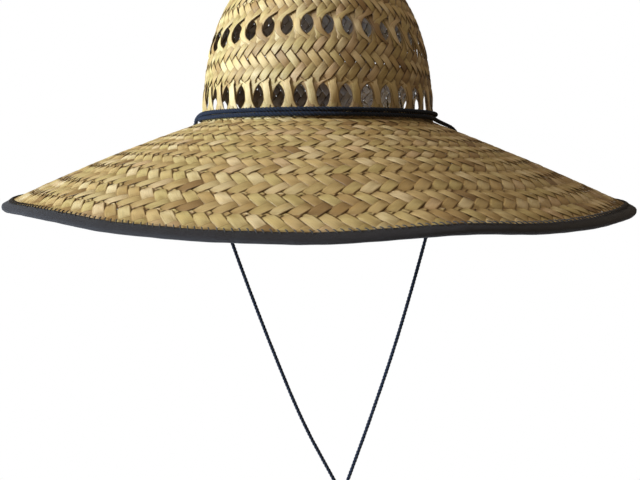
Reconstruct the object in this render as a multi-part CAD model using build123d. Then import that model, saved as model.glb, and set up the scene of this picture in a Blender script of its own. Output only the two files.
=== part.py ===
from build123d import *
import math
import os

# A wide-brimmed woven straw hat, in millimetres. +Z is up and the front of the hat faces -Y.
# The origin is the centre of the head opening, in the plane where the crown meets the brim.

# Crown: an oval dome, worked out from one profile that is stretched in Y.
CROWN_HALF_WIDTH = 85.0
CROWN_HALF_LENGTH = 100.0
CROWN_HEIGHT = 122.0
CROWN_TAPER = 0.05
CROWN_FULLNESS = 2.55
CREST = 0.15
TIP_RINGS = 9
BAND_STEP = 8.0
STRAW = 2.0
LENGTH_RATIO = CROWN_HALF_LENGTH / CROWN_HALF_WIDTH

# Heights where the crown's closed bands and its open vent rows meet.
BASE_TOP = 6.0
LOWER_VENT_TOP = 23.0
UPPER_VENT_BOTTOM = 54.0
UPPER_VENT_TOP = 70.0
VENT_COUNT = 36
LOWER_VENT_WIDTH = 6.4
UPPER_VENT_WIDTH = 5.8

# Brim: the same width all the way round, sloping down from the crown.
BRIM_WIDTH = 135.0
BRIM_DROP = 62.5
BRIM_SLOPE = BRIM_DROP / BRIM_WIDTH
BRIM_HEIGHT = STRAW * math.hypot(1, BRIM_SLOPE)

# Binding: a cloth tape folded over the brim's edge and sewn through.
TAPE_LEAF = 7.0
TAPE = 0.9
TAPE_NOSE = 1.0
THREAD_INSET = 1.6
THREAD_WIDTH = 0.7
THREAD_HEIGHT = 0.5
THREAD_CLEAR = 0.02

# One cord runs round the crown and hangs below the brim from two holes.
CORD = 2.8
CORD_HOLE = 5.0
LEFT_HOLE_X = -92.0
RIGHT_HOLE_X = 103.0
PIVOT_Z = -11.5
PIVOT_GAP = 1.0
CLEAR = 0.1

# Slide bead, end knot and loose tails on the hanging cord.
BEAD_X = 17.8
BEAD_TOP = -276.0
BEAD_HEIGHT = 16.0
BEAD_RADIUS = 8.0
BEAD_END_RADIUS = 5.2
BEAD_BORE = 6.8
STRAND_OFFSET = 1.5
GATHER_Z = -272.2
KNOT_TOP = -332.0
KNOT_HEIGHT = 9.0
KNOT_RADIUS = 4.8
KNOT_END_RADIUS = 3.2


def oval(margin, height):
    """The crown's base outline, widened by a margin, at a height."""
    plane = Plane.XY.offset(height)
    return plane * Ellipse(CROWN_HALF_WIDTH + margin, CROWN_HALF_LENGTH + margin)


def ruled(*sections):
    """A straight-sided solid through ovals, each given as a margin and a height."""
    return loft([oval(margin, height) for margin, height in sections], ruled=True)


def crown_radius(height, inset):
    """Half width of the crown's profile at a height, for the outside or, with an inset, the inside."""
    share = height / (CROWN_HEIGHT - inset)
    round_off = (1 - share**CROWN_FULLNESS) ** (1 / CROWN_FULLNESS)
    return (CROWN_HALF_WIDTH - inset) * (1 - CROWN_TAPER * share) * round_off


def crown_stack(heights, inset):
    """A solid through the crown's ovals at a list of heights."""
    sections = []
    for height in heights:
        radius = crown_radius(height, inset)
        sections.append(Plane.XY.offset(height) * Ellipse(radius, radius * LENGTH_RATIO))
    return loft(sections, ruled=True)


def crown_band(low, high):
    """A closed band of the crown's wall between two heights."""
    steps = max(1, round((high - low) / BAND_STEP))
    heights = [low + (high - low) * step / steps for step in range(steps + 1)]
    return crown_stack(heights, 0) - crown_stack(heights, STRAW)


def crown_tip():
    """The closed top of the crown, with rings that crowd together towards its flat crest."""
    shells = []
    for inset in (0, STRAW):
        rise = CROWN_HEIGHT - inset - CREST - UPPER_VENT_TOP
        turns = [math.pi / 2 * step / TIP_RINGS for step in range(TIP_RINGS + 1)]
        shells.append(crown_stack([UPPER_VENT_TOP + rise * math.sin(turn) for turn in turns], inset))
    return shells[0] - shells[1]


def vent_posts(low, high, vent_width):
    """The upright straw pairs left between the open vents of one row."""
    band = crown_band(low, high)
    radius = crown_radius((low + high) / 2, STRAW / 2)
    cutters = []
    for index in range(VENT_COUNT):
        turn = 2 * math.pi * (index + 0.5) / VENT_COUNT
        x = radius * math.cos(turn)
        y = radius * LENGTH_RATIO * math.sin(turn)
        facing = math.degrees(math.atan2(math.sin(turn), LENGTH_RATIO * math.cos(turn)))
        block = Box(40, vent_width, high - low + 4)
        cutters.append(Pos(x, y, (low + high) / 2) * Rot(0, 0, facing) * block)
    return band - cutters


def brim():
    """The woven brim: a sloping oval ring with a hole for each side of the cord."""
    over = ruled((0, 0), (BRIM_WIDTH, -BRIM_DROP), (BRIM_WIDTH, -BRIM_DROP - 10))
    extra = 12
    low = -BRIM_DROP - BRIM_HEIGHT - extra * BRIM_SLOPE
    under = ruled((0, -BRIM_HEIGHT), (BRIM_WIDTH + extra, low), (BRIM_WIDTH + extra, low - 20))
    inner_width = CROWN_HALF_WIDTH - STRAW
    head_opening = Pos(0, 0, -5) * extrude(Ellipse(inner_width, inner_width * LENGTH_RATIO), 10)
    holes = [Pos(x, 0, -5) * Cylinder(CORD_HOLE / 2, 30) for x in (LEFT_HOLE_X, RIGHT_HOLE_X)]
    return over - under - head_opening - holes


def brim_binding(straw_brim):
    """The tape over the brim's edge: an upper leaf, a rounded nose and a lower leaf."""
    inner = BRIM_WIDTH - TAPE_LEAF
    rise = TAPE * math.hypot(1, BRIM_SLOPE)
    outer = BRIM_WIDTH + TAPE_NOSE
    shoulder = BRIM_WIDTH + 0.3
    top = -BRIM_SLOPE * shoulder + rise
    bottom = -BRIM_SLOPE * shoulder - BRIM_HEIGHT - rise
    middle = (top + bottom) / 2
    over = ruled(
        (inner, -BRIM_SLOPE * inner + rise),
        (shoulder, top),
        (outer, middle + 0.9),
        (outer, middle - 0.9),
        (shoulder, bottom),
        (shoulder, bottom - 10),
    )
    start = inner - 10
    extra = shoulder + 10
    start_low = -BRIM_SLOPE * start - BRIM_HEIGHT - rise
    extra_low = -BRIM_SLOPE * extra - BRIM_HEIGHT - rise
    under = ruled((start, start_low), (extra, extra_low), (extra, extra_low - 20))
    inside = ruled((inner, 0), (inner, -100))
    return over - under - inside - straw_brim


def binding_thread():
    """The sewing thread: one raised line along the tape's upper leaf."""
    near = BRIM_WIDTH - TAPE_LEAF + THREAD_INSET
    far = near + THREAD_WIDTH
    lean = math.hypot(1, BRIM_SLOPE)
    foot = (TAPE + THREAD_CLEAR) * lean
    head = (TAPE + THREAD_CLEAR + THREAD_HEIGHT) * lean
    far_top = head - BRIM_SLOPE * far
    over = ruled((near, head - BRIM_SLOPE * near), (far, far_top), (far, far_top - 5))
    start = near - 2
    extra = far + 2
    under_low = foot - BRIM_SLOPE * extra
    under = ruled((start, foot - BRIM_SLOPE * start), (extra, under_low), (extra, under_low - 10))
    inside = ruled((near, 0), (near, -100))
    return over - under - inside


def corner_radii(points, tight=()):
    """The largest arc that each corner's two runs allow; a tight corner gives its own radius."""
    places = [Vector(*point) for point in points]
    radii = []
    for index in range(1, len(places) - 1):
        before = places[index] - places[index - 1]
        after = places[index + 1] - places[index]
        half_turn = math.radians(before.get_angle(after)) / 2
        largest = 0.45 * min(before.length, after.length) / math.tan(half_turn)
        radii.append(dict(tight).get(index, largest))
    return radii


def tube(name, points, tight=()):
    """A round cord along straight runs joined by arcs."""
    radii = corner_radii(points, tight)
    route = FilletPolyline(*points, radius=radii)
    path = route.wire()
    print(name, "length", round(path.length, 1), "radii", [round(radius, 1) for radius in radii])
    section = Plane(origin=path @ 0, z_dir=path % 0) * Circle(CORD / 2)
    solid = sweep(section, path=path)
    expected = math.pi * CORD**2 / 4 * path.length
    print(name, "volume over section by length", round(solid.volume / expected, 4))
    return solid


def crown_cord_route():
    """One and a half turns round the crown's foot, from the right hole to the left hole."""
    low_z = 2.6
    left_z = 1.9
    high_z = 5.6
    half_width = CROWN_HALF_WIDTH + CORD / 2 + CLEAR
    half_length = CROWN_HALF_LENGTH + CORD / 2 + CLEAR
    step = 30
    reach = 1 / math.cos(math.radians(step / 2))
    points = [(RIGHT_HOLE_X, 0, PIVOT_Z + PIVOT_GAP), (RIGHT_HOLE_X, 0, -5.6), (86.5, -13, 2.2)]
    heights = {30: low_z, 60: low_z, 90: low_z, 120: low_z, 150: 2.3, 180: left_z, 210: 2.2, 240: 2.9}
    for turn in range(30, 511, step):
        height = heights.get(turn, min(high_z, 2.9 + (turn - 240) * 0.03))
        angle = math.radians(-turn)
        x = half_width * reach * math.cos(angle)
        y = half_length * reach * math.sin(angle)
        points.append((x, y, height))
    points += [(-87.5, -13, 4.6), (LEFT_HOLE_X, 0, 0.4), (LEFT_HOLE_X, 0, PIVOT_Z + PIVOT_GAP)]
    return points


LEFT_LEG = [
    (LEFT_HOLE_X, 0, PIVOT_Z - PIVOT_GAP),
    (-73.0, 0, -62.0),
    (-54.2, 0, -114.5),
    (-34.0, 0, -167.0),
    (-11.5, 0, -221.4),
    (BEAD_X - STRAND_OFFSET, 0, GATHER_Z),
    (BEAD_X - STRAND_OFFSET, 0, KNOT_TOP),
]

RIGHT_LEG = [
    (RIGHT_HOLE_X, 0, PIVOT_Z - PIVOT_GAP),
    (86.0, 0, -62.5),
    (72.0, 0, -114.5),
    (56.6, 0, -167.0),
    (38.0, 0, -221.4),
    (BEAD_X + STRAND_OFFSET, 0, GATHER_Z),
    (BEAD_X + STRAND_OFFSET, 0, KNOT_TOP),
]

# The strands turn into the bead's mouth round its edge, at this radius.
MOUTH_RADIUS = 10.0


def cord_bead():
    """A wooden barrel bead that holds the two strands side by side."""
    bottom = BEAD_TOP - BEAD_HEIGHT
    middle = (BEAD_TOP + bottom) / 2
    bore = BEAD_BORE / 2
    low_rim = (BEAD_END_RADIUS, 0, bottom)
    high_rim = (BEAD_END_RADIUS, 0, BEAD_TOP)
    side = ThreePointArc(low_rim, (BEAD_RADIUS, 0, middle), high_rim)
    top = Line(high_rim, (bore, 0, BEAD_TOP))
    wall = Line((bore, 0, BEAD_TOP), (bore, 0, bottom))
    base = Line((bore, 0, bottom), low_rim)
    return Pos(BEAD_X, 0, 0) * revolve(Face(Wire([side, top, wall, base])), Axis.Z)


def cord_end_knot():
    """The knot that ties both strands together under the bead."""
    bottom = KNOT_TOP - KNOT_HEIGHT
    middle = (KNOT_TOP + bottom) / 2
    low_rim = (KNOT_END_RADIUS, 0, bottom)
    high_rim = (KNOT_END_RADIUS, 0, KNOT_TOP)
    side = ThreePointArc(low_rim, (KNOT_RADIUS, 0, middle), high_rim)
    top = Line(high_rim, (0, 0, KNOT_TOP))
    core = Line((0, 0, KNOT_TOP), (0, 0, bottom))
    base = Line((0, 0, bottom), low_rim)
    return Pos(BEAD_X, 0, 0) * revolve(Face(Wire([side, top, core, base])), Axis.Z)


def cord_tails():
    """The two short cord ends below the knot."""
    top = KNOT_TOP - KNOT_HEIGHT
    tails = []
    for side in (-1, 1):
        start = BEAD_X + side * STRAND_OFFSET
        points = [(start, 0, top), (start, 0, top - 5), (start + side * 2, side, top - 11)]
        tails.append(tube("tail", points))
    return Compound(children=tails)


straw_brim = brim()
nodes = {
    "crown_tip": crown_tip(),
    "crown_upper_vent_posts": vent_posts(UPPER_VENT_BOTTOM, UPPER_VENT_TOP, UPPER_VENT_WIDTH),
    "crown_middle_band": crown_band(LOWER_VENT_TOP, UPPER_VENT_BOTTOM),
    "crown_lower_vent_posts": vent_posts(BASE_TOP, LOWER_VENT_TOP, LOWER_VENT_WIDTH),
    "crown_base_band": crown_band(0, BASE_TOP),
    "brim": straw_brim,
    "brim_binding": brim_binding(straw_brim),
    "binding_thread": binding_thread(),
    "crown_cord": tube("crown_cord", crown_cord_route()),
    "chin_cord_left": tube("chin_cord_left", LEFT_LEG, {5: MOUTH_RADIUS}),
    "chin_cord_right": tube("chin_cord_right", RIGHT_LEG, {5: MOUTH_RADIUS}),
    "cord_bead": cord_bead(),
    "cord_end_knot": cord_end_knot(),
    "cord_tails": cord_tails(),
}

os.makedirs("parts", exist_ok=True)
for name, shape in nodes.items():
    export_step(shape, f"parts/{name}.step")
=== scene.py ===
import math

import bpy
import numpy as np
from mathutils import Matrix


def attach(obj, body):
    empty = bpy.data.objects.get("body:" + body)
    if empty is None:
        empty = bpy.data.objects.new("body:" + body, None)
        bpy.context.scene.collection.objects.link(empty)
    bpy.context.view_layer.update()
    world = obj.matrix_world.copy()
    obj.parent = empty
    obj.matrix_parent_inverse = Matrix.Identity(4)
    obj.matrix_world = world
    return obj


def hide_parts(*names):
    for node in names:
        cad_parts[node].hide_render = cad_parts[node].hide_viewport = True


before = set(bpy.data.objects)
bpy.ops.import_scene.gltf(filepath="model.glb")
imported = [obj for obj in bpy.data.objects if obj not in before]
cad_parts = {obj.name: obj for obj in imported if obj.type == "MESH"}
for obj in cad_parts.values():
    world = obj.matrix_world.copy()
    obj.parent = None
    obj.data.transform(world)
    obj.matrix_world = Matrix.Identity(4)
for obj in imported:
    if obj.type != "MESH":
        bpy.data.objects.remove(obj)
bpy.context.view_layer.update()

# Lengths are worked out in millimetres and turned into metres when a mesh is made.
MM = 0.001
chance = np.random.default_rng(11)

# The hat's driving sizes, as in the frame.
CROWN_HALF_WIDTH = 85.0
CROWN_HALF_LENGTH = 100.0
CROWN_HEIGHT = 122.0
CROWN_TAPER = 0.05
CROWN_FULLNESS = 2.55
LENGTH_RATIO = CROWN_HALF_LENGTH / CROWN_HALF_WIDTH
BRIM_WIDTH = 135.0
BRIM_DROP = 62.5
BRIM_SLOPE = BRIM_DROP / BRIM_WIDTH
UPPER_VENT_TOP = 70.0
CORD = 2.8
LEFT_HOLE_X = -92.0
RIGHT_HOLE_X = 103.0
PIVOT_Z = -11.5
BEAD_X = 17.8
BEAD_TOP = -276.0
BEAD_HEIGHT = 16.0
BEAD_RADIUS = 8.0
BEAD_END_RADIUS = 5.2
BORE_RADIUS = 3.4

# How far the straw's middle lies above the hat's outer faces. It's negative, so it lies within them.
MID_DEPTH = -1.0

# What the frame leaves plain: the bow of the brim across its width, how far its right edge reaches
# out, and how far the crown's rounds dip at the sides and at the back.
BRIM_BOW = 3.4
RIGHT_SPREAD = 2.8
SIDE_DIP = 8.0
BACK_DIP = 6.5

# How many strips one family has on the crown's side, in each round of its tip, and in each round of
# the brim, then how far from the crown the brim's rounds start and end.
SIDE_COUNT = 72
TIP_COUNTS = [60, 46, 32, 18]
BRIM_COUNTS = [60, 68, 78, 88, 97, 109, 121, 132]
BRIM_EDGES = [-1.5, 11.5, 27.0, 43.0, 58.7, 76.0, 96.3, 114.8, 134.0]

# Soft lights: name, place and side in metres, power in watts, colour, and whether they leave
# highlights. The key is two lights at one place, so that only a part of it shows in the gloss.
LIGHT_AIM = (0.0, 0.0, 0.01)
KEY_PLACE = (-3.10, -0.84, 0.84)
LIGHTS = [
    ("key", KEY_PLACE, 0.7, 110, (0.79, 0.895, 1.0), True),
    ("key_matt", KEY_PLACE, 0.7, 150, (0.76, 0.88, 1.0), False),
    ("side", (-3.10, -0.10, -0.40), 0.9, 125, (0.41, 0.68, 1.0), False),
    ("fill", (-0.44, -1.10, 1.85), 1.2, 17, (1.0, 0.94, 0.83), True),
    ("back", (1.20, 3.00, 0.45), 1.5, 30, (1.0, 0.95, 0.88), False),
]


# ---------------------------------------------------------------- camera, lights, floor

def make_camera():
    """A level view of the hat's front from a little below the crown's foot."""
    data = bpy.data.cameras.new("camera")
    data.lens = 53.16
    data.sensor_width = 36
    data.shift_y = -0.133
    camera = bpy.data.objects.new("camera", data)
    camera.location = (0.0016, -0.700, -0.0236)
    camera.rotation_euler = (math.radians(90), 0, 0)
    bpy.context.scene.collection.objects.link(camera)
    bpy.context.scene.camera = camera


def make_light(name, place, size, power, colour, glossy):
    """A soft square light that points at the hat; one that isn't glossy leaves no highlights."""
    data = bpy.data.lights.new(name, "AREA")
    data.size = size
    data.energy = power
    data.color = colour
    light = bpy.data.objects.new(name, data)
    light.location = place
    way = np.array(LIGHT_AIM) - np.array(place)
    flat = math.hypot(way[0], way[1])
    light.rotation_euler = (math.atan2(flat, -way[2]), 0, math.atan2(-way[0], way[1]))
    light.visible_camera = False
    light.visible_glossy = glossy
    bpy.context.scene.collection.objects.link(light)


def make_world():
    """A dim, warm, even surround that lights the hat and looks white behind it."""
    bpy.context.scene.view_settings.view_transform = "Standard"
    world = bpy.data.worlds.new("surround")
    world.use_nodes = True
    tree = world.node_tree
    surround = tree.nodes["Background"]
    surround.inputs["Color"].default_value = (1.0, 0.80, 0.57, 1.0)
    surround.inputs["Strength"].default_value = 0.19
    white = tree.nodes.new("ShaderNodeBackground")
    white.inputs["Color"].default_value = (1.0, 1.0, 1.0, 1.0)
    seen = tree.nodes.new("ShaderNodeLightPath")
    blend = tree.nodes.new("ShaderNodeMixShader")
    tree.links.new(seen.outputs["Is Camera Ray"], blend.inputs[0])
    tree.links.new(surround.outputs["Background"], blend.inputs[1])
    tree.links.new(white.outputs["Background"], blend.inputs[2])
    tree.links.new(blend.outputs["Shader"], tree.nodes["World Output"].inputs["Surface"])
    bpy.context.scene.world = world


def make_floor():
    """A plain pale round floor well below the hanging cord; its far edge is under the camera's view."""
    radius, low, sides = 2.25, -1.10, 128
    turns = [2 * math.pi * side / sides for side in range(sides)]
    rim = [(radius * math.cos(turn), radius * math.sin(turn), low) for turn in turns]
    mesh = bpy.data.meshes.new("floor")
    mesh.from_pydata(rim, [], [tuple(range(sides))])
    floor = bpy.data.objects.new("floor", mesh)
    bpy.context.scene.collection.objects.link(floor)
    material = bpy.data.materials.new("floor")
    material.use_nodes = True
    shader = material.node_tree.nodes["Principled BSDF"]
    shader.inputs["Base Color"].default_value = (0.85, 0.85, 0.85, 1)
    shader.inputs["Roughness"].default_value = 0.9
    shader.inputs["Emission Color"].default_value = (1, 1, 1, 1)
    shader.inputs["Emission Strength"].default_value = 0.14
    mesh.materials.append(material)


# ---------------------------------------------------------------- mesh helpers

def make_piece(name, points, quads, material, body, replaced=(), values=None):
    """A mesh piece from arrays of points, in millimetres, and quads."""
    mesh = bpy.data.meshes.new(name)
    points = np.asarray(points, np.float32) * MM
    quads = np.asarray(quads, np.int32)
    mesh.vertices.add(len(points))
    mesh.vertices.foreach_set("co", points.ravel())
    mesh.loops.add(quads.size)
    mesh.loops.foreach_set("vertex_index", quads.ravel())
    mesh.polygons.add(len(quads))
    mesh.polygons.foreach_set("loop_start", np.arange(0, quads.size, 4, dtype=np.int32))
    mesh.polygons.foreach_set("use_smooth", np.ones(len(quads), bool))
    mesh.update(calc_edges=True)
    for key, data in (values or {}).items():
        kind = "FLOAT_VECTOR" if data.ndim == 2 else "FLOAT"
        field = "vector" if data.ndim == 2 else "value"
        attribute = mesh.attributes.new(key, kind, "POINT")
        attribute.data.foreach_set(field, data.astype(np.float32).ravel())
    mesh.materials.append(material)
    piece = bpy.data.objects.new(name, mesh)
    bpy.context.scene.collection.objects.link(piece)
    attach(piece, body)
    if replaced:
        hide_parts(*replaced)
    return piece


def ring_quads(count, rings, sides, caps):
    """Quads for many closed tubes whose rings lie one after the other; caps close their ends."""
    ring = np.arange(sides)
    after = (ring + 1) % sides
    step = np.arange(rings - 1)[:, None] * sides
    wall = np.stack([step + ring, step + after, step + sides + after, step + sides + ring], -1)
    start = np.array([quad[::-1] for quad in caps])
    end = np.array(caps) + (rings - 1) * sides
    one = np.concatenate([wall.reshape(-1, 4), start, end])
    offsets = np.arange(count)[:, None, None] * rings * sides
    return (one[None] + offsets).reshape(-1, 4)


def loop_quads(stations, corners):
    """Quads for a closed section that is carried round a closed loop of stations."""
    corner = np.arange(corners)
    after = (corner + 1) % corners
    here = np.arange(stations)[:, None] * corners
    there = (np.arange(stations)[:, None] + 1) % stations * corners
    return np.stack([here + corner, here + after, there + after, there + corner], -1).reshape(-1, 4)


def merge(parts):
    """Joins several (points, quads, values) into one."""
    points, quads, values = [], [], {}
    count = 0
    for part_points, part_quads, part_values in parts:
        points.append(part_points)
        quads.append(part_quads + count)
        count += len(part_points)
        for key, data in part_values.items():
            values.setdefault(key, []).append(data)
    joined = {key: np.concatenate(data) for key, data in values.items()}
    return np.concatenate(points), np.concatenate(quads), joined


# Quads that close the end of a round tube, for each number of sides in use.
TUBE_CAPS = {
    6: [(0, 1, 2, 3), (0, 3, 4, 5)],
    8: [(0, 1, 2, 3), (0, 3, 4, 7), (4, 5, 6, 7)],
}


def tubes(centres, radii, sides=6):
    """Round closed tubes along rows of centres, shaped (tubes, rings, 3)."""
    centres = np.asarray(centres, float)
    ways = np.gradient(centres, axis=1)
    ways /= np.linalg.norm(ways, axis=-1, keepdims=True)
    sideways = np.zeros_like(centres)
    start = np.where(np.abs(ways[:, 0, 2:3]) < 0.8, [[0.0, 0.0, 1.0]], [[0.0, 1.0, 0.0]])
    for ring in range(centres.shape[1]):
        start = start - (start * ways[:, ring]).sum(-1, keepdims=True) * ways[:, ring]
        start = start / np.linalg.norm(start, axis=-1, keepdims=True)
        sideways[:, ring] = start
    upward = np.cross(ways, sideways)
    turn = np.arange(sides) * 2 * math.pi / sides
    radii = np.broadcast_to(np.asarray(radii, float), centres.shape[:2])
    spoke = np.cos(turn)[:, None] * sideways[:, :, None] + np.sin(turn)[:, None] * upward[:, :, None]
    points = centres[:, :, None] + spoke * radii[:, :, None, None]
    quads = ring_quads(centres.shape[0], centres.shape[1], sides, TUBE_CAPS[sides])
    return points.reshape(-1, 3), quads


# ---------------------------------------------------------------- materials

def new_material(name):
    """A node material and its shader."""
    material = bpy.data.materials.new(name)
    material.use_nodes = True
    return material, material.node_tree, material.node_tree.nodes["Principled BSDF"]


def add(tree, kind, **inputs):
    """A node with some of its inputs set by name."""
    node = tree.nodes.new(kind)
    for key, value in inputs.items():
        node.inputs[key.replace("_", " ")].default_value = value
    return node


def ramp(tree, source, stops):
    """A colour ramp fed by a value."""
    node = tree.nodes.new("ShaderNodeValToRGB")
    elements = node.color_ramp.elements
    while len(elements) < len(stops):
        elements.new(0.5)
    for element, (place, colour) in zip(elements, stops):
        element.position = place
        element.color = (*colour, 1)
    tree.links.new(source, node.inputs["Fac"])
    return node.outputs["Color"]


def scaled(tree, source, scale):
    """A vector times a fixed scale on each axis."""
    node = tree.nodes.new("ShaderNodeVectorMath")
    node.operation = "MULTIPLY"
    tree.links.new(source, node.inputs[0])
    node.inputs[1].default_value = scale
    return node.outputs[0]


def mixed(tree, kind, share, first, second):
    """Two colours mixed by a share from 0 to 1."""
    node = tree.nodes.new("ShaderNodeMix")
    node.data_type = "RGBA"
    node.blend_type = kind
    node.inputs[0].default_value = share
    tree.links.new(first, node.inputs[6])
    tree.links.new(second, node.inputs[7])
    return node.outputs[2]


def noise(tree, source, scale, detail, roughness):
    """A noise value over a place that is stretched by a scale on each axis."""
    node = add(tree, "ShaderNodeTexNoise", Scale=1.0, Detail=detail, Roughness=roughness)
    tree.links.new(scaled(tree, source, scale), node.inputs["Vector"])
    return node.outputs["Fac"]


def set_roughness(tree, shader, source, smooth, rough):
    """Roughness that follows a noise value, from its smoothest to its roughest."""
    node = add(tree, "ShaderNodeMapRange", From_Min=0.3, From_Max=0.7, To_Min=smooth, To_Max=rough)
    tree.links.new(source, node.inputs["Value"])
    tree.links.new(node.outputs["Result"], shader.inputs["Roughness"])


def set_bump(tree, shader, source, strength, distance=0.0003):
    """Fine relief that follows a value; the distance is in metres."""
    node = add(tree, "ShaderNodeBump", Strength=strength, Distance=distance)
    tree.links.new(source, node.inputs["Height"])
    tree.links.new(node.outputs["Normal"], shader.inputs["Normal"])


def straw_material():
    """Dried palm straw: each strip its own tone, with fibres and blotches along its length, darkened by
    painted shade.
    """
    material, tree, shader = new_material("straw")
    place = tree.nodes.new("ShaderNodeAttribute")
    place.attribute_name = "straw_place"
    tone = tree.nodes.new("ShaderNodeAttribute")
    tone.attribute_name = "straw_tone"
    base = ramp(tree, tone.outputs["Fac"], [
        (0.0, (0.27, 0.16, 0.058)),
        (0.22, (0.40, 0.262, 0.100)),
        (0.45, (0.51, 0.362, 0.158)),
        (0.62, (0.47, 0.355, 0.140)),
        (0.80, (0.63, 0.49, 0.27)),
        (1.0, (0.54, 0.375, 0.20)),
    ])
    fibres = noise(tree, place.outputs["Vector"], (3.6, 0.10, 17.0), detail=3.0, roughness=0.6)
    streaks = ramp(tree, fibres, [
        (0.28, (0.60, 0.54, 0.45)),
        (0.5, (1, 1, 1)),
        (0.75, (1.0, 0.98, 0.92)),
    ])
    blotch = noise(tree, place.outputs["Vector"], (0.10, 0.07, 9.0), detail=2.0, roughness=0.5)
    stains = ramp(tree, blotch, [
        (0.30, (0.72, 0.66, 0.50)),
        (0.5, (1, 1, 1)),
        (0.72, (1.0, 0.93, 0.80)),
    ])
    shade = mixed(tree, "MULTIPLY", 0.8, base, streaks)
    shade = mixed(tree, "MULTIPLY", 0.75, shade, stains)
    # Painted shade: the strips' edges, the hollows where they dive under their neighbours and the crown's
    # inner faces are painted darker.
    painted_shade_input = tree.nodes.new("ShaderNodeAttribute")
    painted_shade_input.attribute_name = "straw_painted_shade"
    painted_shade_tint = ramp(tree, painted_shade_input.outputs["Fac"], [
        (0.0, (0.09, 0.052, 0.026)),
        (0.5, (0.50, 0.42, 0.31)),
        (1.0, (1, 1, 1)),
    ])
    shade = mixed(tree, "MULTIPLY", 1.0, shade, painted_shade_tint)
    tree.links.new(shade, shader.inputs["Base Color"])
    set_roughness(tree, shader, fibres, 0.39, 0.62)
    fine = noise(tree, place.outputs["Vector"], (5.0, 0.16, 31.0), detail=4.0, roughness=0.7)
    set_bump(tree, shader, fine, strength=0.55, distance=0.0004)
    shader.inputs["Specular IOR Level"].default_value = 0.75
    shader.inputs["Coat Weight"].default_value = 0.10
    shader.inputs["Coat Roughness"].default_value = 0.42
    return material


def cloth_material(name, dark, light, rib_scale, rib_strength):
    """Woven or twisted thread, with a fine rib that follows the piece's own lengths."""
    material, tree, shader = new_material(name)
    place = tree.nodes.new("ShaderNodeAttribute")
    place.attribute_name = "cloth_place"
    rib = add(tree, "ShaderNodeTexWave", Scale=1.0, Distortion=0.6, Detail=1.0)
    rib.bands_direction = "DIAGONAL"
    tree.links.new(scaled(tree, place.outputs["Vector"], (rib_scale,) * 3), rib.inputs["Vector"])
    fuzz = noise(tree, place.outputs["Vector"], (1.3, 1.3, 1.3), detail=3.0, roughness=0.6)
    colour = ramp(tree, fuzz, [(0.3, dark), (0.7, light)])
    ribs = ramp(tree, rib.outputs["Fac"], [(0.0, (0.55, 0.55, 0.55)), (0.6, (1, 1, 1))])
    tree.links.new(mixed(tree, "MULTIPLY", 0.8, colour, ribs), shader.inputs["Base Color"])
    set_bump(tree, shader, rib.outputs["Fac"], rib_strength)
    set_roughness(tree, shader, fuzz, 0.62, 0.85)
    shader.inputs["Specular IOR Level"].default_value = 0.3
    shader.inputs["Sheen Weight"].default_value = 0.05
    return material


def wood_material():
    """Dark stained beech with grain along the bore."""
    material, tree, shader = new_material("bead_wood")
    place = tree.nodes.new("ShaderNodeTexCoord")
    grain = noise(tree, place.outputs["Object"], (900.0, 900.0, 90.0), detail=4.0, roughness=0.6)
    colour = ramp(tree, grain, [
        (0.3, (0.10, 0.045, 0.018)),
        (0.55, (0.22, 0.11, 0.045)),
        (0.75, (0.32, 0.17, 0.08)),
    ])
    tree.links.new(colour, shader.inputs["Base Color"])
    set_bump(tree, shader, grain, strength=0.25)
    set_roughness(tree, shader, grain, 0.28, 0.45)
    return material


STRAW = straw_material()
TAPE = cloth_material("binding_tape", (0.012, 0.0105, 0.012), (0.031, 0.0265, 0.028), 1.6, 0.6)
THREAD = cloth_material("binding_thread", (0.020, 0.018, 0.018), (0.070, 0.060, 0.052), 3.0, 0.4)
CORD_BLACK = cloth_material("cord_black", (0.003, 0.006, 0.014), (0.010, 0.019, 0.042), 2.2, 0.5)
WOOD = wood_material()


# ---------------------------------------------------------------- cords

# The routes' points, in metres, follow the frame's. The hanging sides start on the swing's axis, and
# have more points where they turn down into the bead. The crown cord's two leads lie up to 1.5 mm
# from the frame's.
LEFT_LEG = [
    (-0.0920, 0, -0.0115),
    (-0.0730, 0, -0.0620),
    (-0.0542, 0, -0.1145),
    (-0.0340, 0, -0.1670),
    (-0.0115, 0, -0.2214),
    (0.0081, 0, -0.2573),
    (0.0163, 0, -0.2722),
    (0.0163, 0, -0.2892),
    (0.0163, 0, -0.3320),
]
RIGHT_LEG = [
    (0.1030, 0, -0.0115),
    (0.0860, 0, -0.0625),
    (0.0720, 0, -0.1145),
    (0.0566, 0, -0.1670),
    (0.0380, 0, -0.2214),
    (0.0252, 0, -0.2562),
    (0.0193, 0, -0.2722),
    (0.0193, 0, -0.2892),
    (0.0193, 0, -0.3320),
]


def crown_cord_route():
    """One and a half turns round the crown's foot, between the two brim holes."""
    step = 30
    reach = 1 / math.cos(math.radians(step / 2))
    clear = CORD / 2 + 0.1
    half_width = (CROWN_HALF_WIDTH + clear) * MM
    half_length = (CROWN_HALF_LENGTH + clear) * MM
    points = [(0.1030, 0, -0.0115), (0.1030, 0, -0.0050), (0.0872, -0.013, 0.0008)]
    heights = {30: 2.6, 60: 2.6, 90: 2.6, 120: 2.6, 150: 2.3, 180: 1.9, 210: 2.2, 240: 2.9}
    top_height, climb = 5.6, 0.03
    for turn in range(30, 511, step):
        height = heights.get(turn, min(top_height, heights[240] + (turn - 240) * climb)) * MM
        angle = math.radians(-turn)
        points.append((half_width * reach * math.cos(angle), half_length * reach * math.sin(angle), height))
    points += [(-0.0875, -0.013, 0.0036), (-0.0906, -0.001, -0.0005), (-0.0920, 0, -0.0115)]
    return points


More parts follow.
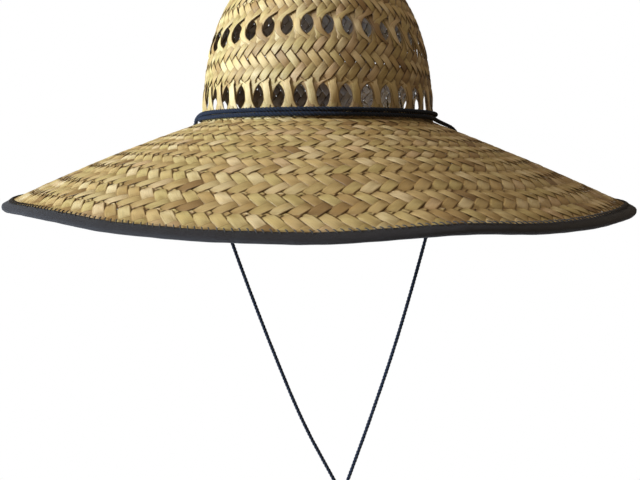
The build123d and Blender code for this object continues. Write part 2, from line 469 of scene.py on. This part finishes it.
def route_line(points):
    """The line of a NURBS spline with these control points, as an array in metres."""
    curve = bpy.data.curves.new("route", "CURVE")
    curve.dimensions = "3D"
    curve.resolution_u = 24
    spline = curve.splines.new("NURBS")
    spline.points.add(len(points) - 1)
    for point, place in zip(spline.points, points):
        point.co = (*place, 1)
    spline.order_u = 3
    spline.use_endpoint_u = True
    holder = bpy.data.objects.new("route", curve)
    bpy.context.scene.collection.objects.link(holder)
    bpy.context.view_layer.update()
    mesh = bpy.data.meshes.new_from_object(holder)
    line = np.array([tuple(vertex.co) for vertex in mesh.vertices])
    bpy.data.objects.remove(holder)
    bpy.data.curves.remove(curve)
    bpy.data.meshes.remove(mesh)
    return line


# A twisted cord: three strands that go round once in each lay, with a ring of points each spacing.
ROPE_STRANDS = 3
ROPE_LAY = 8.0
ROPE_SPACING = 0.9
STRAND_SIDES = 6


def rope(line, diameter):
    """Twisted strands round a line, in millimetres: their points, quads and cloth places."""
    run = np.concatenate([[0], np.cumsum(np.linalg.norm(np.diff(line, axis=0), axis=1))])
    count = max(8, int(run[-1] / ROPE_SPACING))
    at = np.linspace(0, run[-1], count)
    centre = np.stack([np.interp(at, run, line[:, axis]) for axis in range(3)], -1)
    way = np.gradient(centre, axis=0)
    way /= np.linalg.norm(way, axis=-1, keepdims=True)
    side = np.zeros_like(centre)
    guide = np.array([0.0, 1.0, 0.0]) if abs(way[0, 1]) < 0.8 else np.array([1.0, 0.0, 0.0])
    for index in range(count):
        guide = guide - guide.dot(way[index]) * way[index]
        guide /= np.linalg.norm(guide)
        side[index] = guide
    other = np.cross(way, side)
    radius = diameter / 2
    offset, strand_radius = radius * 0.50, radius * 0.52
    strand_shift = 3.1
    parts = []
    for strand in range(ROPE_STRANDS):
        turn = 2 * math.pi * (strand / ROPE_STRANDS + at / ROPE_LAY)
        path = centre + offset * (np.cos(turn)[:, None] * side + np.sin(turn)[:, None] * other)
        points, quads = tubes(path[None], strand_radius, STRAND_SIDES)
        place = np.zeros((len(points), 3))
        place[:, 0] = np.tile(np.arange(STRAND_SIDES) * radius * 0.5, count)
        place[:, 1] = np.repeat(at, STRAND_SIDES)
        place[:, 2] = strand * strand_shift
        parts.append((points, quads, {"cloth_place": place}))
    return merge(parts)


def ball(centre, radius):
    """A small closed ball of quads, for the bend of the cord at a brim hole."""
    sides, rings, pole = 8, 7, 0.96
    rise = np.linspace(-pole, pole, rings) * math.pi / 2
    path = np.array(centre)[None] + np.stack([np.sin(rise) * radius, rise * 0, rise * 0], -1)
    points, quads = tubes(path[None], (np.cos(rise) * radius)[None], sides)
    return points, quads, {"cloth_place": points - np.array(centre)}


def make_cords():
    """The crown cord, both hanging sides, the knot, the tails and the bead."""
    crown_line = route_line(crown_cord_route()) / MM
    pressed_wide, bend_radius = CORD * 1.12, CORD / 2 * 1.04
    parts = [rope(crown_line, pressed_wide)]
    parts += [ball((x, 0, PIVOT_Z), bend_radius) for x in (LEFT_HOLE_X, RIGHT_HOLE_X)]
    points, quads, values = merge(parts)
    make_piece("crown_cord_twist", points, quads, CORD_BLACK, "hat", ["crown_cord"], values)

    extras = [make_bead(), make_knot(), make_tails()]
    for name, route in (("left", LEFT_LEG), ("right", RIGHT_LEG)):
        line = route_line(route)
        points, quads, values = rope(line / MM, CORD)
        node = "chin_cord_" + name
        piece = make_piece(node + "_twist", points, quads, CORD_BLACK, "chin_cord", [node], values)


def make_bead():
    """A turned barrel bead with rounded rims and a bore for both strands."""
    sides, stations = 40, 15
    roundness, shoulder = 2.1, 0.955
    rim_round, mouth_width, mouth_depth, mouth_dip = 0.5, 0.6, 0.7, 0.05
    middle = BEAD_TOP - BEAD_HEIGHT / 2
    profile = []
    for share in np.linspace(-1, 1, stations):
        width = BEAD_END_RADIUS + (BEAD_RADIUS - BEAD_END_RADIUS) * (1 - abs(share) ** roundness)
        profile.append((width, middle + share * BEAD_HEIGHT / 2 * shoulder))
    mouth = [
        (BEAD_END_RADIUS - rim_round, 0),
        (BORE_RADIUS + mouth_width, mouth_dip),
        (BORE_RADIUS, mouth_depth),
    ]
    profile += [(width, BEAD_TOP - depth) for width, depth in mouth]
    profile += [(width, BEAD_TOP - BEAD_HEIGHT + depth) for width, depth in reversed(mouth)]
    profile = np.array(profile)
    turn = np.arange(sides) * 2 * math.pi / sides
    points = np.stack([
        BEAD_X + profile[None, :, 0] * np.cos(turn)[:, None],
        profile[None, :, 0] * np.sin(turn)[:, None],
        np.broadcast_to(profile[None, :, 1], (sides, len(profile))),
    ], -1)
    facing_out = [0, 3, 2, 1]
    quads = loop_quads(sides, len(profile))[:, facing_out]
    return make_piece("bead", points.reshape(-1, 3), quads, WOOD, "slide_bead", ["cord_bead"])


def make_knot():
    """Both strands wrapped and pulled tight below the bead."""
    top, drop, turns, widest = -333.6, 5.8, 2.6, 3.25
    at = np.linspace(0, 1, 90)
    turn = at * turns * 2 * math.pi
    spread = widest * np.sin(np.clip(at, 0.02, 0.98) * math.pi) ** 0.18
    height = top - drop * at
    wrap = np.stack([BEAD_X + spread * np.cos(turn), spread * np.sin(turn), height], -1)
    parts = [rope(wrap, CORD * 0.98)]
    for side in (-1, 1):
        core = [
            (BEAD_X + side * 1.4, 0, -331.6),
            (BEAD_X + side * 0.9, side * -0.9, -336.5),
            (BEAD_X + side * 1.5, 0, -341.4),
        ]
        parts.append(rope(np.array(core), CORD))
    points, quads, values = merge(parts)
    return make_piece("end_knot", points, quads, CORD_BLACK, "chin_cord", ["cord_end_knot"],
                      values)


def make_tails():
    """The two cord ends below the knot, each opened into a few short fibres."""
    fibre_count, fibre_radii = 26, [0.14, 0.11, 0.05]
    shortest, longest = 2.0, 3.6
    spray, root_spread, root_depth = 0.30, 0.42, 0.8
    parts = []
    for side in (-1, 1):
        start = np.array([BEAD_X + side * 1.5, 0, -340.6])
        bend = start + np.array([side * 0.3, side * 0.2, -4.6])
        end = start + np.array([side * 1.8, side * 0.8, -9.6])
        parts.append(rope(np.array([start, bend, end]), CORD))
        way = (end - bend) / np.linalg.norm(end - bend)
        fibres = []
        for _ in range(fibre_count):
            lean = chance.normal(0, spray, 3)
            root = end - way * root_depth + chance.normal(0, root_spread, 3)
            tip = root + (way + lean) * chance.uniform(shortest, longest)
            fibres.append([root, (root + tip) / 2 + lean * 0.25, tip])
        points, quads = tubes(np.array(fibres), fibre_radii)
        parts.append((points, quads, {"cloth_place": points.copy()}))
    points, quads, values = merge(parts)
    return make_piece("cord_tail_ends", points, quads, CORD_BLACK, "chin_cord", ["cord_tails"],
                      values)


# ---------------------------------------------------------------- the hat's surfaces, in millimetres

def crown_table():
    """The crown's profile as arc length, half width and height."""
    share = np.sin(np.linspace(0, math.pi / 2, 3001))
    height = CROWN_HEIGHT * share
    round_off = (1 - share**CROWN_FULLNESS).clip(0) ** (1 / CROWN_FULLNESS)
    width = CROWN_HALF_WIDTH * (1 - CROWN_TAPER * share) * round_off
    run = np.concatenate([[0], np.cumsum(np.hypot(np.diff(width), np.diff(height)))])
    return run, width, height


CROWN_RUN, CROWN_WIDTH_AT, CROWN_HEIGHT_AT = crown_table()
CROWN_ARC = CROWN_RUN[-1]


def crown_run(height):
    """The arc length up the crown's side at a height."""
    return float(np.interp(height, CROWN_HEIGHT_AT, CROWN_RUN))


def crown_surface(turn, along):
    """A point of the crown at a turn round it and an arc length up its side.

    The rounds keep their distance from the top of the crown, so they dip on its shorter sides.
    """
    dip_start, dip_reach, back_reach, fade = 18, 42, 14, 60
    rise = np.clip((along - dip_start) / dip_reach, 0, 1)
    fall = np.clip((CROWN_ARC - along) / fade, 0, 1)
    along = along - SIDE_DIP * np.cos(turn) ** 2 * rise * rise * (3 - 2 * rise) * fall
    along = along - BACK_DIP * np.clip(np.sin(turn), 0, 1) * np.clip(along / back_reach, 0, 1) * fall
    width = np.interp(along, CROWN_RUN, CROWN_WIDTH_AT)
    height = np.interp(along, CROWN_RUN, CROWN_HEIGHT_AT)
    height = height + np.minimum(along, 0)
    return np.stack([width * np.cos(turn), width * LENGTH_RATIO * np.sin(turn), height], -1)


# The brim's edge: how far it leans to one side, sinks all round and dips at the front and the back,
# then its soft waves as a height, where it is in degrees from the front, and how far it reaches.
EDGE_ROLL = 3.0
EDGE_SINK = 0.3
EDGE_SADDLE = 3.45
EDGE_WAVES = [(4.0, 19, 13), (2.6, -47, 14), (3.0, 76, 36), (2.4, 150, 18), (2.0, -150, 17)]


def edge_lift(turn):
    """How far the brim's edge stands above its mean cone: a saddle, a slight roll and soft waves."""
    front = (np.degrees(turn) + 90 + 180) % 360 - 180
    lift = -EDGE_ROLL * np.sin(np.radians(front)) - EDGE_SINK - EDGE_SADDLE * np.cos(np.radians(2 * front))
    for height, middle, reach in EDGE_WAVES:
        lift = lift + height * np.exp(-(((front - middle) / reach) ** 2))
    return lift


def brim_surface(turn, along):
    """A point of the brim at a turn round it and a distance out from the crown."""
    share = np.clip(along / BRIM_WIDTH, 0, 1.02)
    fuller_left = 0.85 - 0.15 * np.cos(turn)
    bow = BRIM_BOW * fuller_left * 4 * share * (1 - share)
    height = -BRIM_SLOPE * along + bow + edge_lift(turn) * share**1.5
    spread = RIGHT_SPREAD * np.clip(np.cos(turn), 0, 1) ** 6 * share**2
    x = (CROWN_HALF_WIDTH + along) * np.cos(turn) + spread
    y = (CROWN_HALF_LENGTH + along) * np.sin(turn)
    return np.stack([x, y, height], -1)


def raised(surface, turn, along, height):
    """Points at a height over the straw's middle, outside the crown or above the brim."""
    here = surface(turn, along)
    round_way = surface(turn + 0.002, along) - surface(turn - 0.002, along)
    along_way = surface(turn, along + 0.2) - surface(turn, along - 0.2)
    normal = np.cross(round_way, along_way)
    normal /= np.linalg.norm(normal, axis=-1, keepdims=True) + 1e-12
    outward = -1 if surface is brim_surface else 1
    return here + outward * normal * (height + MID_DEPTH)[..., None]


# ---------------------------------------------------------------- weaving

# A strip's section: eight points round a thin lens, four on top and four below. Across is a share of
# its half width, and depth is in millimetres. The four points nearest its middle give its centre.
SECTION_EDGE = 0.74
SECTION_ACROSS = np.array([-1.0, -SECTION_EDGE, SECTION_EDGE, 1.0, 1.0, SECTION_EDGE, -SECTION_EDGE, -1.0])
SECTION_DEPTH = np.array([0.09, 0.26, 0.26, 0.09, -0.09, -0.26, -0.26, -0.09])
SECTION_CAPS = [(0, 1, 6, 7), (1, 2, 5, 6), (2, 3, 4, 5)]
SECTION_MIDDLE = [1, 2, 5, 6]

# How far a strip rises and falls at its crossings, its rings of points for each row of crossings,
# and how many rows it runs on past its round, under its neighbours.
LIFT = 0.66
STEPS_PER_ROW = 3
LAP = 0.55

# At a vent, how near the two strips of a pair come, how far one lies over the other, and how much
# narrower they get.
PAIR_CLOSENESS = 0.95
PAIR_STACK = 0.30
PAIR_NARROWING = 0.22

# How light the strips' inner faces are inside the crown, where little light reaches.
CROWN_INSIDE = 0.20


def over_under(place):
    """+1 where the rising family lies on top and -1 where it lies below; it repeats every four crossings."""
    wave = np.sin(math.pi / 2 * (place + 0.5))
    return wave * (1.5 - 0.5 * wave**2)


def paired(row, index, slant, phase, vents, centre, half):
    """Draws strips together in pairs at the vents: their centres, half widths and lift.

    Each vent row has its first and last row of crossings, and a shift that says which neighbours of
    the second family make its pairs.
    """
    straight = 0.22
    lift = np.zeros_like(row)
    for low, high, shift in vents:
        middle, reach = (low + high) / 2, (high - low) / 2
        inside = (row > low) & (row < high)
        place = np.clip((row - middle) / reach, -1, 1)
        group = shift if slant < 0 else 0
        pair = 2 * ((index + group) // 2) - group + 0.5
        bump = (1 - np.abs(place) ** 3) ** 0.6
        path = (straight * place + (1 - straight) * np.sign(place) * np.abs(place) ** 2.6) * reach / 2
        bundled = pair + slant * (middle / 2 + path) + (index - pair) * (1 - PAIR_CLOSENESS * bump) + phase
        centre = np.where(inside, bundled, centre)
        lift = np.where(inside, bump * np.where((index - pair) > 0, PAIR_STACK, -PAIR_STACK), lift)
        half = half * np.where(inside, 1 - PAIR_NARROWING * bump, 1.0)
    return centre, half, lift


def strips(surface, rows, knots, count, slant, tone, dim, phase=0.0, vents=(), full=0.488, inner=0.8):
    """One family of woven strips, which lean one way round with a slant of 1 and the other with -1.

    Rows are rows of crossings, and knots give each row's place on the surface. A strip's tone has a
    mean and a spread. Dim is how light the family is, and inner is how light its inner faces are
    painted, a painted shade. Full is half a strip's width, as a share of the distance from one to the
    next. The strips are painted darker where they dive under their neighbours, a painted shade, and at
    their edges, a painted shade that also stands for the browner edges of palm strips.
    """
    waver_size, swell, curl_size, end_width = 0.035, 0.04, 0.10, 0.55
    # Painted shade: how much darker a strip is painted where it dives below its neighbour and at its edges,
    # and how much of the first is kept where strips pair at the vents.
    dark_below, dark_edge, pair_dark = 0.66, 0.60, 0.4
    first, last = rows
    rings = int((last - first + 2 * LAP) * STEPS_PER_ROW) + 2
    row = np.linspace(first - LAP, last + LAP, rings)[None, :, None]
    index = np.arange(count)[:, None, None]
    each = (count, 1, 1)
    seed = chance.uniform(0, 1, each)
    waver = waver_size * np.sin(row * chance.uniform(0.5, 1.2, each) + seed * 40)
    half = full * (1 + chance.uniform(-0.09, 0.03, each) + swell * np.sin(row * 0.9 + seed * 90))
    across = SECTION_ACROSS[None, None, :]
    centre, half, lift = paired(row, index, slant, phase, vents, index + slant * row / 2 + phase, half)

    height = LIFT * slant * over_under(row + slant * across * half)
    tucked = (row < first) | (row > last)
    height = np.where(tucked, -np.abs(height), height)
    # Painted shade: darker where the strip lies low under its neighbour, towards its edges and on its inner
    # faces; the family's dim tone is multiplied in.
    hollow = np.clip(0.5 - height / (2 * LIFT), 0, 1) * np.where(lift == 0, 1.0, pair_dark)
    edge = np.clip((np.abs(across) - SECTION_EDGE) / (1 - SECTION_EDGE), 0, 1)
    strip_painted_shade = (1 - dark_below * hollow**1.3) * (1 - dark_edge * edge)
    strip_painted_shade = strip_painted_shade * np.where(SECTION_DEPTH > 0, 1.0, inner) * dim
    height = height * chance.uniform(0.85, 1.15, each) + lift + chance.normal(0, 0.05, each)
    curl = curl_size * across * np.sin(row * 0.7 + seed * 60)
    depth = SECTION_DEPTH[None, None, :] * chance.uniform(0.8, 1.15, each)
    ends = np.ones_like(row)
    ends[:, [0, -1]] = end_width

    turn = (centre + waver + across * half * ends) * 2 * math.pi / count
    along = np.broadcast_to(np.interp(row, *knots), turn.shape)
    points = raised(surface, turn, along, height + curl + depth)

    middle_line = points[:, :, SECTION_MIDDLE].mean(2)
    run = np.zeros((count, rings))
    run[:, 1:] = np.cumsum(np.linalg.norm(np.diff(middle_line, axis=1), axis=-1), 1)
    width = np.linalg.norm(points[:, :, 0] - points[:, :, 3], axis=-1)
    place = np.zeros(points.shape)
    place[..., 0] = across * width[:, :, None] / 2 + np.where(SECTION_DEPTH > 0, 0.0, 11.0)
    place[..., 1] = run[:, :, None] + seed * 300
    place[..., 2] = seed * 20
    shade = np.clip(chance.normal(tone[0], tone[1], each), 0, 1)
    values = {
        "straw_place": place.reshape(-1, 3),
        "straw_tone": np.broadcast_to(shade, points.shape[:3]).reshape(-1),
        "straw_painted_shade": np.broadcast_to(strip_painted_shade, points.shape[:3]).reshape(-1),
    }
    return points.reshape(-1, 3), ring_quads(count, rings, 8, SECTION_CAPS), values


def weave(surface, rows, knots, count, dims=(0.84, 1.0), **more):
    """Both families of strips over a span of rows; one family is a little darker than the other."""
    rising = strips(surface, rows, knots, count, 1, tone=(0.50, 0.25), dim=dims[0], **more)
    falling = strips(surface, rows, knots, count, -1, tone=(0.52, 0.25), dim=dims[1], **more)
    return merge([rising, falling])


def make_crown():
    """The crown's straw: its side with two rows of open vents, then the tip in narrowing rounds."""
    tip_start = crown_run(UPPER_VENT_TOP) + 14.0
    tip_end = CROWN_ARC - 7.0

    rows = [-1.5, 0.5, 3.5, 9.5, 12.5, 15.5]
    vents = ((0.5, 3.5, 0), (9.5, 12.5, 1))
    vent_edges = [crown_run(height) for height in (2.8, 25.2, 52.6, 70.6)]
    knots = (rows, [crown_run(0) - 1.0] + vent_edges + [tip_start])
    points, quads, values = weave(crown_surface, (rows[0], rows[-1]), knots, SIDE_COUNT, vents=vents,
                                  inner=CROWN_INSIDE)
    make_piece("crown_side_straw", points, quads, STRAW, "hat",
               ["crown_base_band", "crown_lower_vent_posts", "crown_middle_band", "crown_upper_vent_posts"],
               values)

    rounds = len(TIP_COUNTS)
    rows = [rows[-1] + 4 * step for step in range(-1, rounds + 2)]
    places = [tip_start + (tip_end - tip_start) * step / rounds for step in range(-1, rounds + 1)]
    knots = (rows, places + [tip_end + 6])
    parts = []
    for index, count in enumerate(TIP_COUNTS):
        span = (rows[index + 1], rows[index + 2])
        parts.append(weave(crown_surface, span, knots, count, inner=CROWN_INSIDE))
    parts.append(crest_patch())
    points, quads, values = merge(parts)
    make_piece("crown_tip_straw", points, quads, STRAW, "hat", ["crown_tip"], values)


def crest_patch():
    """The small plain-woven start of the hat at the top of the crown."""
    half_length, half_width, pitch = 11.5, 2.35, 5.0
    count, rings = 4, 25
    lift, end_dive, sink = 0.62, 1.6, 0.4
    at = np.linspace(-half_length, half_length, rings)
    dive = -end_dive * (np.abs(at) / half_length) ** 6
    parts = []
    for direction in (0, 1):
        for index in range(count):
            offset = (index - (count - 1) / 2) * pitch
            lean = lift * np.cos(math.pi * at / pitch + math.pi * (index + direction))
            long_way = at[:, None] + 0 * SECTION_ACROSS[None]
            cross_way = offset + half_width * SECTION_ACROSS[None] + 0 * at[:, None]
            x, y = (long_way, cross_way) if direction == 0 else (cross_way, long_way)
            round_off = np.hypot(x / CROWN_HALF_WIDTH, y / CROWN_HALF_LENGTH)
            z = CROWN_HEIGHT - sink - CROWN_HEIGHT * 0.42 * round_off**2.4
            z = z + lean[:, None] + dive[:, None] + SECTION_DEPTH[None]
            points = np.stack([x, y, z], -1)
            seed = chance.uniform(0, 1)
            place = np.stack([cross_way - offset, long_way + seed * 300, 0 * z + seed * 20], -1)
            values = {
                "straw_place": place.reshape(-1, 3),
                "straw_tone": np.full(points.size // 3, np.clip(chance.normal(0.5, 0.22), 0, 1)),
                # Painted shade: the strips are painted darker where they dive low under the crossing strips
                # and lighter where they rise over them.
                "straw_painted_shade": np.clip(0.8 + 0.3 * lean[:, None] + 0 * z, 0, 1).reshape(-1),
            }
            parts.append((points.reshape(-1, 3), ring_quads(1, rings, 8, SECTION_CAPS), values))
    return merge(parts)


def make_brim():
    """The brim's straw in eight rounds; strips are added at each round as the brim widens."""
    first, last = -0.5, 3.5
    for index, count in enumerate(BRIM_COUNTS):
        low, high = BRIM_EDGES[index], BRIM_EDGES[index + 1]
        step = (high - low) / (last - first)
        knots = ([first - 1, first, last, last + 1], [low - step, low, high, min(high + step, BRIM_WIDTH)])
        phase = float(chance.uniform(0, 1))
        points, quads, values = weave(brim_surface, (first, last), knots, count, phase=phase, full=0.54,
                                      dims=(1.0, 0.84))
        name = "brim_straw_" + str(index + 1)
        make_piece(name, points, quads, STRAW, "hat", ["brim"], values)


# ---------------------------------------------------------------- the bound edge

def make_binding():
    """The tape folded over the brim's edge."""
    inner, nose = BRIM_WIDTH - 5.8, BRIM_WIDTH + 1.0
    outside = [
        (inner, 1.45), (inner + 0.8, 1.68), (inner + 3.2, 1.76), (nose - 1.3, 1.66), (nose - 0.35, 1.05),
    ]
    inside = [(nose - 1.6, 1.15), (inner + 0.2, 1.22)]
    section = outside + [(nose, 0.0)] + [(along, -height) for along, height in reversed(outside)]
    section += [(along, -height) for along, height in reversed(inside)] + [(nose - 1.2, 0.0)] + inside
    section = np.array(section)
    steps, mean_radius = 540, 228.0
    turn = np.arange(steps)[:, None] * 2 * math.pi / steps + 0 * section[None, :, 0]
    puff = 1 + 0.05 * np.sin(turn * 61) + 0.04 * np.sin(turn * 97 + 1)
    along = section[None, :, 0] + 0.15 * np.sin(turn * 23)
    points = raised(brim_surface, turn, along, section[None, :, 1] * puff)
    quads = loop_quads(steps, len(section))
    around = np.concatenate([[0], np.cumsum(np.hypot(*np.diff(section, axis=0).T))])
    place = np.stack([around[None, :] + 0 * turn, turn * mean_radius, 0 * turn], -1)
    make_piece("edge_tape", points.reshape(-1, 3), quads, TAPE, "hat", ["brim_binding"],
               {"cloth_place": place.reshape(-1, 3)})


def make_stitches():
    """Slanting stitches that catch the tape's two edges to the straw."""
    count, radii = 336, [0.24, 0.36, 0.40, 0.36, 0.22]
    start, length, slant = BRIM_WIDTH - 7.6, 3.9, 0.0125
    low, rise = 0.9, 1.2
    turn = np.arange(count) * 2 * math.pi / count
    at = np.linspace(0, 1, len(radii))[None, :]
    parts = []
    for face in (1, -1):
        place = turn[:, None] + chance.normal(0, 0.0007, (count, 1)) + at * slant
        along = start + at * length + chance.normal(0, 0.15, (count, 1))
        height = face * (low + rise * np.sin(np.clip(at * 0.85 + 0.1, 0, 1) * math.pi) ** 0.7)
        points, quads = tubes(raised(brim_surface, place, along, height), radii)
        parts.append((points, quads, {"cloth_place": points.copy()}))
    points, quads, values = merge(parts)
    make_piece("edge_stitches", points, quads, THREAD, "hat", ["binding_thread"], values)


make_camera()
make_cords()
make_world()
make_floor()
for light_facts in LIGHTS:
    make_light(*light_facts)
make_crown()
make_brim()
make_binding()
make_stitches()
